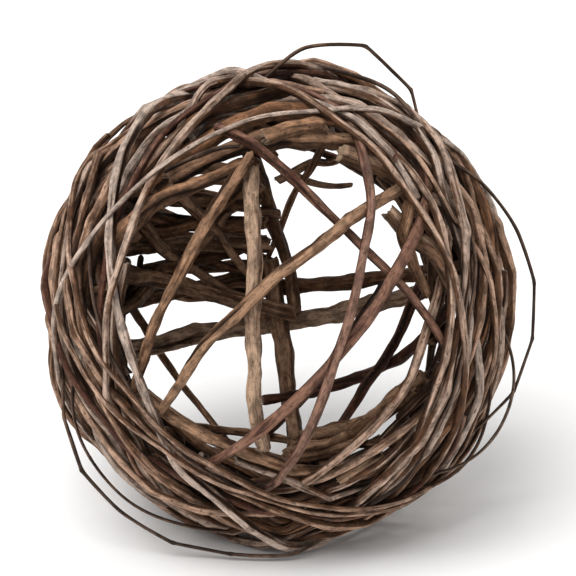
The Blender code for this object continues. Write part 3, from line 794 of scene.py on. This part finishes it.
# Spans: from and to in what is read, then what they become, 0 and 1 where nothing is said.
FIBRE_LIGHT, BLOTCH_LIGHT = (0.25, 0.75, 0.68, 1.32), (0.36, 0.64, 0.58, 1.28)
SHADE_SPAN, SPOT_SPAN, SCARRED_SPAN = (0.40, 0.98), (0.58, 0.70), (0.35, 0.95)
PORE_SPAN, WOOD_SPAN, DULL_SPAN = (0.10, 0.24, 1.0, 0.0), (0.3, 0.7), (0.3, 0.7)
DULL_LOW, DULL_HIGH = -0.10, 0.14  # how much glossier and duller than its roughness the bark gets
SCAR_BASE = 0.6
GLOSS = 0.14

# Bumps: strength and height in metres, then how high each thing stands in them. Stripes count whole.
FINE_BUMP, COARSE_BUMP = (0.55, 0.00022), (0.5, 0.0005)
FIBRE_HEIGHT, FLECK_HEIGHT, PATCH_HEIGHT = 0.7, 0.5, 0.6


class Graph:
    """Short calls for adding nodes to a material."""

    def __init__(self, material):
        material.use_nodes = True
        self.nodes = material.node_tree.nodes
        self.links = material.node_tree.links
        self.shader = self.nodes["Principled BSDF"]

    def put(self, socket, value):
        if isinstance(value, bpy.types.NodeSocket):
            self.links.new(value, socket)
        elif value is not None:
            socket.default_value = value

    def attribute(self, name, output):
        node = self.nodes.new("ShaderNodeAttribute")
        node.attribute_name = name
        return node.outputs[output]

    def math(self, operation, a, b=None, c=None):
        node = self.nodes.new("ShaderNodeMath")
        node.operation = operation
        for socket, value in zip(node.inputs, (a, b, c)):
            self.put(socket, value)
        return node.outputs[0]

    def axis(self, vector, which):
        node = self.nodes.new("ShaderNodeSeparateXYZ")
        self.put(node.inputs[0], vector)
        return node.outputs[which]

    def scaled(self, vector, scale):
        node = self.nodes.new("ShaderNodeVectorMath")
        node.operation = "MULTIPLY"
        self.put(node.inputs[0], vector)
        node.inputs[1].default_value = scale
        return node.outputs[0]

    def noise(self, vector, grain):
        node = self.nodes.new("ShaderNodeTexNoise")
        self.put(node.inputs["Vector"], self.scaled(vector, (grain.around, grain.around, grain.along)))
        node.inputs["Scale"].default_value = 1.0
        node.inputs["Detail"].default_value = grain.detail
        node.inputs["Roughness"].default_value = grain.roughness
        node.inputs["Distortion"].default_value = grain.distortion
        return node.outputs["Fac"]

    def cells(self, vector):
        node = self.nodes.new("ShaderNodeTexVoronoi")
        self.put(node.inputs["Vector"], vector)
        node.inputs["Scale"].default_value = 1.0
        return node.outputs["Distance"]

    def span(self, value, low, high, out_low=0.0, out_high=1.0):
        node = self.nodes.new("ShaderNodeMapRange")
        node.interpolation_type = "SMOOTHSTEP"
        self.put(node.inputs["Value"], value)
        node.inputs["From Min"].default_value = low
        node.inputs["From Max"].default_value = high
        node.inputs["To Min"].default_value = out_low
        node.inputs["To Max"].default_value = out_high
        return node.outputs[0]

    def mix(self, factor, a, b):
        node = self.nodes.new("ShaderNodeMix")
        node.data_type = "RGBA"
        self.put(node.inputs[0], factor)
        for socket, value in ((node.inputs[6], a), (node.inputs[7], b)):
            self.put(socket, (*value, 1.0) if isinstance(value, tuple) else value)
        return node.outputs[2]

    def brightened(self, colour, amount):
        node = self.nodes.new("ShaderNodeHueSaturation")
        self.put(node.inputs["Color"], colour)
        self.put(node.inputs["Value"], amount)
        return node.outputs["Color"]

    def bump(self, height, strength, distance, normal=None):
        node = self.nodes.new("ShaderNodeBump")
        node.inputs["Strength"].default_value = strength
        node.inputs["Distance"].default_value = distance
        self.put(node.inputs["Height"], height)
        if normal is not None:
            self.put(node.inputs["Normal"], normal)
        return node.outputs["Normal"]


def bark(name, dark, pale, paleness, freckles, roughness, end):
    """Bark along a strand: weathered stripes, painted highlight on its outward side and ridges, painted
    shade in its grooves, on its inward side and under other strands, blotches, fine fibres, small pores
    where `freckles` is above zero, and wood of the colour `end` where it is cut."""
    shade_and_spots = tuple(bpy.context.scene.bark_colours.shade_and_spots)
    material = bpy.data.materials.new(name)
    graph = Graph(material)
    grain = graph.attribute("grain", "Vector")
    values = graph.attribute("bark", "Vector")
    lit_side, rib, knot = (graph.axis(values, which) for which in range(3))
    tone = graph.attribute("tone", "Fac")
    warmth = graph.math("FRACT", graph.math("MULTIPLY", tone, WARM_SPREAD))
    cover = graph.attribute("cover", "Fac")
    cut = graph.attribute("cut", "Fac")
    stripes, fibres, patches, flecks, blotches = (
        graph.noise(grain, kind) for kind in (STRIPES, FIBRES, PATCHES, FLECKS, BLOTCHES)
    )

    # How pale: painted highlight on the outward side and high ribs, painted shade under other strands,
    # weathered stripes and patches, and some strands more than others.
    lit = graph.math("MULTIPLY_ADD", rib, PALE_RIB, stripes)
    lit = graph.math("MULTIPLY_ADD", lit_side, PALE_LIT_SIDE, lit)
    lit = graph.math("ADD", lit, graph.math("MULTIPLY_ADD", tone, PALE_TONE, -0.5 * PALE_TONE))
    lit = graph.math("ADD", lit, graph.math("MULTIPLY", cover, PALE_COVER))
    lit = graph.math("ADD", lit, graph.math("MULTIPLY_ADD", patches, PALE_PATCH, -0.5 * PALE_PATCH))
    lit = graph.span(lit, *(least + change * paleness for least, change in (PALE_FROM, PALE_TO)))
    warm_pale = tuple(part * tint for part, tint in zip(pale, WARM_TINT))
    surface = graph.mix(lit, dark, graph.mix(warmth, pale, warm_pale))
    surface = graph.brightened(surface, graph.span(fibres, *FIBRE_LIGHT))
    surface = graph.brightened(surface, graph.span(blotches, *BLOTCH_LIGHT))

    # Painted shade in the grooves, on the inward side and under other strands, with dark patches; dark
    # spots, scars at the nodes, pale pores.
    shade = graph.math("MULTIPLY_ADD", rib, DARK_RIB, patches)
    shade = graph.math("MULTIPLY_ADD", lit_side, DARK_LIT_SIDE, shade)
    shade = graph.span(graph.math("MULTIPLY_ADD", cover, DARK_COVER, shade), *SHADE_SPAN)
    surface = graph.mix(graph.math("MULTIPLY", shade, PAINTED_SHADE_MOST), surface, shade_and_spots)
    spots = graph.span(flecks, *SPOT_SPAN)
    surface = graph.mix(graph.math("MULTIPLY", spots, SPOT_MOST), surface, shade_and_spots)
    scar = graph.span(graph.math("MULTIPLY", knot, graph.math("ADD", flecks, SCAR_BASE)), *SCARRED_SPAN)
    darker = tuple(DARK_WOOD * part for part in dark)
    surface = graph.mix(graph.math("MULTIPLY", scar, SCAR_MOST), surface, darker)
    if freckles > 0.0:
        pores = graph.cells(graph.scaled(grain, (PORES_AROUND, PORES_AROUND, PORES_ALONG)))
        pores = graph.span(pores, *PORE_SPAN)
        surface = graph.mix(graph.math("MULTIPLY", pores, freckles), surface, pale)

    # Cut ends: bare wood with a fine darker grain.
    wood_grain = graph.span(graph.noise(grain, CUT_WOOD), *WOOD_SPAN)
    wood = graph.mix(wood_grain, tuple(DARK_WOOD * part for part in end), end)
    surface = graph.mix(graph.math("MULTIPLY", cut, CUT_MOST), surface, wood)

    graph.put(graph.shader.inputs["Base Color"], surface)
    dullness = graph.span(stripes, *DULL_SPAN, roughness + DULL_LOW, roughness + DULL_HIGH)
    graph.put(graph.shader.inputs["Roughness"], dullness)
    graph.shader.inputs["Metallic"].default_value = 0.0
    graph.shader.inputs["Specular IOR Level"].default_value = GLOSS
    height = graph.math("MULTIPLY_ADD", fibres, FIBRE_HEIGHT, graph.math("MULTIPLY", flecks, FLECK_HEIGHT))
    fine = graph.bump(height, *FINE_BUMP)
    height = graph.math("ADD", stripes, graph.math("MULTIPLY", patches, PATCH_HEIGHT))
    graph.put(graph.shader.inputs["Normal"], graph.bump(height, *COARSE_BUMP, fine))
    return material


def bark_of(slot):
    """The bark for a material slot of the record, made once."""
    name = slot + "_bark"
    if name in bpy.data.materials:
        return bpy.data.materials[name]
    colours = bpy.context.scene.bark_colours
    # Dark, pale, paleness, freckles, roughness, and the wood where it is cut.
    kinds = {
        "grey_brown_vine": (colours.vine, colours.vine_pale, 0.55, 0.0, 0.72, colours.vine_pale),
        "brown_stick": (colours.stick, colours.stick_pale, 0.40, 0.25, 0.76, colours.stick_pale),
        "red_brown_twig": (colours.red, colours.red_pale, 0.42, 0.35, 0.62, colours.red_pale),
        "tan_stick": (colours.tan, colours.tan_pale, 0.52, 0.0, 0.78, colours.cut),
        "dark_wisp": (colours.wisp, colours.wisp_pale, 0.45, 0.0, 0.66, colours.wisp_pale),
    }
    dark, pale, paleness, freckles, roughness, end = kinds[slot]
    return bark(name, tuple(dark), tuple(pale), paleness, freckles, roughness, tuple(end))


# Pieces.

DRESS_SEED, SHOOT_SEED = 100, 500  # each strand adds its own number to one of them

# The strands that have a solid, by their slots: rib, swell, crack, splinter, and what else differs.
LOOKS = {
    "grey_brown_vine": Look(1.0, 0.7, 1.0, 0.5),
    "brown_stick": Look(0.8, 0.8, 0.5, 0.6, inward=-0.5, paler=0.1),
    "red_brown_twig": Look(0.45, 1.0, 0.0, 0.3, sharp=0.25),
    "tan_stick": Look(1.1, 1.2, 0.8, 0.6, inward=0.2),
    "dark_wisp": Look(0.3, 2.2, 0.0, 0.0, girth=0.52, sharp=0.6, around=12),
}

# The fine shoots and the other strands that have none.
FINE_LOOKS = {
    "grey_brown_vine": Look(0.7, 0.8, 0.5, 0.3, girth=0.9, sharp=0.04, around=12),
    "brown_stick": Look(0.8, 0.8, 0.4, 0.3, sharp=0.04, around=14, inward=-0.8, paler=0.2),
    "red_brown_twig": Look(0.4, 1.2, 0.0, 0.2, girth=0.9, sharp=0.04, around=12),
    "dark_wisp": Look(0.2, 1.5, 0.0, 0.0, girth=0.55, sharp=0.06, around=8),
    "tan_stick": Look(1.2, 1.4, 0.8, 0.7, sharp=0.3, inward=0.2),
}

# Sticks that stand out from the others of their kind.
OWN_LOOKS = {
    "top_cross_stick": Look(1.3, 2.4, 0.7, 0.9, girth=1.22, sharp=0.6),
    "upper_left_stick": Look(1.2, 2.0, 1.0, 0.9, girth=1.1, sharp=0.5),
    "low_tan_stick": Look(1.3, 2.6, 0.8, 0.9, girth=1.15, sharp=0.6),
    "back_middle_bar": Look(1.3, 1.4, 0.8, 0.8, girth=1.12, inward=-1.0, paler=0.5),
    "back_low_stick_01": Look(1.5, 0.6, 1.2, 0.9, girth=1.1, inward=-0.9, paler=0.3),
    "back_low_stick_02": Look(1.5, 0.6, 1.2, 0.9, girth=1.1, inward=-0.8, paler=0.3),
    "back_slant_01": Look(0.8, 1.0, 0.4, 0.5, inward=-0.1),
    "back_slant_02": Look(0.8, 1.0, 0.4, 0.5, inward=0.1),
    "back_slant_03": Look(0.8, 1.0, 0.4, 0.5, inward=-0.2),
}


def dress(node):
    """The natural strand that stands for one solid."""
    slot = SLOTS[node]
    points, radii = LINES[node]
    chance = np.random.default_rng(DRESS_SEED + sorted(LINES).index(node))
    look = OWN_LOOKS.get(node, LOOKS[slot])
    surface = Surface(points, radii, chance, bpy.context.scene.strand_sizes, look)
    piece = add_piece(node + "_dressed", surface, bark_of(slot))
    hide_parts(node)


@lru_cache
def wound():
    """The strands that have no solid, placed once."""
    return Shoots()


def wind_on(names):
    """Adds the strands of these names that have no solid."""
    shoots = wound()
    sizes = bpy.context.scene.strand_sizes
    for number, name in enumerate(shoots.names):
        if name in names:
            place = slice(shoots.ends[number], shoots.ends[number + 1])
            chance = np.random.default_rng(SHOOT_SEED + number)
            slot = shoots.slots[number]
            surface = Surface(shoots.points[place], shoots.radii[number], chance, sizes, FINE_LOOKS[slot])
            add_piece(name, surface, bark_of(slot))


def dress_all(prefixes):
    """Dresses the solids whose names start so."""
    for node in sorted(LINES):
        if node.startswith(prefixes):
            dress(node)


class VINEBALL_OT_rim_vines(bpy.types.Operator):
    """Dresses the long vines that run round the ball"""

    bl_idname = "vineball.rim_vines"
    bl_label = "Rim Vines"

    def execute(self, context):
        dress_all("rim_vine")
        return {"FINISHED"}


class VINEBALL_OT_side_twigs(bpy.types.Operator):
    """Dresses the twigs of the sides, the top and the underside"""

    bl_idname = "vineball.side_twigs"
    bl_label = "Side Twigs"

    def execute(self, context):
        dress_all(("left_side", "right_side", "top_side", "bottom_side"))
        return {"FINISHED"}


class VINEBALL_OT_back_sticks(bpy.types.Operator):
    """Dresses the sticks and vines across the back"""

    bl_idname = "vineball.back_sticks"
    bl_label = "Back Sticks"

    def execute(self, context):
        dress_all("back_")
        return {"FINISHED"}


FRONT_STICKS = (
    "upright_stick",
    "leaning_stick",
    "thin_diagonal_twig",
    "bowed_twig",
    "steep_diagonal_twig",
    "long_diagonal_twig",
    "top_cross_stick",
    "upper_left_stick",
    "top_under_stick",
    "right_short_stick",
    "low_cross_twig",
    "low_tan_stick",
)


class VINEBALL_OT_front_sticks(bpy.types.Operator):
    """Dresses the sticks and twigs across the front"""

    bl_idname = "vineball.front_sticks"
    bl_label = "Front Sticks"

    def execute(self, context):
        dress_all(FRONT_STICKS)
        return {"FINISHED"}


class VINEBALL_OT_wisps(bpy.types.Operator):
    """Dresses the loose thin shoots that stand off the ball"""

    bl_idname = "vineball.wisps"
    bl_label = "Loose Wisps"

    def execute(self, context):
        dress_all(("top_wisp", "right_wisp", "lower_wisp"))
        return {"FINISHED"}


class VINEBALL_OT_fine_shoots(bpy.types.Operator):
    """Winds the fine shoots on between the rim's vines"""

    bl_idname = "vineball.fine_shoots"
    bl_label = "Fine Shoots"

    def execute(self, context):
        wind_on(ROUND_NAMES)
        return {"FINISHED"}


class VINEBALL_OT_far_sticks(bpy.types.Operator):
    """Fills the far side with brown sticks"""

    bl_idname = "vineball.far_sticks"
    bl_label = "Far Sticks"

    def execute(self, context):
        wind_on([shoot.name for shoot in FAR_SIDE])
        return {"FINISHED"}


class VINEBALL_OT_near_twigs(bpy.types.Operator):
    """Adds the low wires, the broken stubs and the last twigs of the near side"""

    bl_idname = "vineball.near_twigs"
    bl_label = "Wires, Stubs and Twigs"

    def execute(self, context):
        wind_on([shoot.name for shoot in NEAR_SIDE])
        return {"FINISHED"}


# Stage. The floor's measures are in metres.

FLOOR_FRONT, WALL_FOOT, WALL_BEND, WALL_TOP, HALF_WIDTH = -6.0, 3.0, 1.5, 6.0, 7.0
BEND_POINTS = 13
FLOOR_SINK = 0.0001  # how far the floor lies under the ball's lowest points
FLOOR_ROUGHNESS = 0.9
FARTHEST_SEEN = 30.0
SKY_STRENGTH, SUN_STRENGTH = 0.55, 2.7
SUN_AZIMUTH, SUN_HEIGHT, SUN_WIDTH = math.radians(-34), math.radians(56), math.radians(48)


def floor_and_wall(colour):
    """A wide floor that curves up into a wall far behind: a profile carried sideways."""
    bend = np.linspace(0.0, math.pi / 2, BEND_POINTS)
    curve = np.column_stack([WALL_FOOT + WALL_BEND * np.sin(bend), WALL_BEND - WALL_BEND * np.cos(bend)])
    profile = np.concatenate([[[FLOOR_FRONT, 0.0]], curve, [[WALL_FOOT + WALL_BEND, WALL_TOP]]])
    across = np.repeat([-HALF_WIDTH, HALF_WIDTH], len(profile))
    points = np.column_stack([across, np.tile(profile, (2, 1)) - np.array((0.0, FLOOR_SINK))])
    step = np.arange(len(profile) - 1)
    faces = np.stack([step, step + len(profile), step + len(profile) + 1, step + 1], axis=1)
    mesh = bpy.data.meshes.new("studio_floor")
    mesh.from_pydata(points.tolist(), [], faces.tolist())
    mesh.shade_smooth()
    material = bpy.data.materials.new("pale_floor")
    graph = Graph(material)
    graph.shader.inputs["Base Color"].default_value = (*colour, 1.0)
    graph.shader.inputs["Roughness"].default_value = FLOOR_ROUGHNESS
    mesh.materials.append(material)
    floor = put_in("studio_floor", mesh)


def soft_sun():
    """A wide, soft sun from the upper left front."""
    light = bpy.data.lights.new("key_light", "SUN")
    light.energy = SUN_STRENGTH
    light.angle = SUN_WIDTH
    lamp = put_in("key_light", light)
    lamp.rotation_euler = (math.pi / 2 - SUN_HEIGHT, 0.0, SUN_AZIMUTH)


def sky():
    """An even white sky."""
    world = bpy.data.worlds.new("studio_sky")
    world.use_nodes = True
    background = world.node_tree.nodes["Background"]
    background.inputs["Color"].default_value = (1.0, 1.0, 1.0, 1.0)
    background.inputs["Strength"].default_value = SKY_STRENGTH
    bpy.context.scene.world = world


def photo_camera(sizes):
    """A long lens at the photograph's viewing angle, framing the whole ball."""
    widest = max(high - low for low, high in zip(*CAD_BOX))
    camera = bpy.data.cameras.new("camera")
    camera.lens = camera.sensor_width * sizes.distance / (widest * sizes.margin)
    camera.clip_end = FARTHEST_SEEN
    holder = put_in("camera", camera)
    tilt = sizes.elevation
    target = 0.5 * (np.array(CAD_BOX[0]) + np.array(CAD_BOX[1]))
    holder.location = tuple(target + sizes.distance * np.array((0.0, -math.cos(tilt), math.sin(tilt))))
    holder.rotation_euler = (math.pi / 2 - tilt, 0.0, 0.0)
    bpy.context.scene.camera = holder


class VINEBALL_OT_stage(bpy.types.Operator):
    """Adds the pale floor, the soft light and the camera"""

    bl_idname = "vineball.stage"
    bl_label = "Stage"

    def execute(self, context):
        sizes = context.scene.stage_sizes
        floor_and_wall(tuple(sizes.floor))
        sky()
        soft_sun()
        photo_camera(sizes)
        context.scene.view_settings.view_transform = "Standard"
        return {"FINISHED"}


class VINEBALL_PT_panel(bpy.types.Panel):
    """The ball's sizes, colours and pieces"""

    bl_idname = "VINEBALL_PT_panel"
    bl_label = "Vine Ball"
    bl_space_type = "VIEW_3D"
    bl_region_type = "UI"
    bl_category = "Vine Ball"

    def draw(self, context):
        for group in (context.scene.strand_sizes, context.scene.bark_colours, context.scene.stage_sizes):
            box = self.layout.box()
            for name in type(group).__annotations__:
                box.prop(group, name)
        for operator in OPERATORS:
            self.layout.operator(operator.bl_idname)


OPERATORS = (
    VINEBALL_OT_rim_vines,
    VINEBALL_OT_side_twigs,
    VINEBALL_OT_back_sticks,
    VINEBALL_OT_front_sticks,
    VINEBALL_OT_wisps,
    VINEBALL_OT_fine_shoots,
    VINEBALL_OT_far_sticks,
    VINEBALL_OT_near_twigs,
    VINEBALL_OT_stage,
)
GROUPS = (StrandSizes, BarkColours, StageSizes)


def register():
    for each in GROUPS + OPERATORS + (VINEBALL_PT_panel,):
        bpy.utils.register_class(each)
    bpy.types.Scene.strand_sizes = bpy.props.PointerProperty(type=StrandSizes)
    bpy.types.Scene.bark_colours = bpy.props.PointerProperty(type=BarkColours)
    bpy.types.Scene.stage_sizes = bpy.props.PointerProperty(type=StageSizes)


def unregister():
    del bpy.types.Scene.stage_sizes
    del bpy.types.Scene.bark_colours
    del bpy.types.Scene.strand_sizes
    for each in reversed(GROUPS + OPERATORS + (VINEBALL_PT_panel,)):
        bpy.utils.unregister_class(each)


def main():
    register()
    bpy.ops.vineball.rim_vines()
    bpy.ops.vineball.side_twigs()
    bpy.ops.vineball.back_sticks()
    bpy.ops.vineball.front_sticks()
    bpy.ops.vineball.wisps()
    bpy.ops.vineball.fine_shoots()
    bpy.ops.vineball.far_sticks()
    bpy.ops.vineball.near_twigs()
    bpy.ops.vineball.stage()


if __name__ == "__main__":
    main()
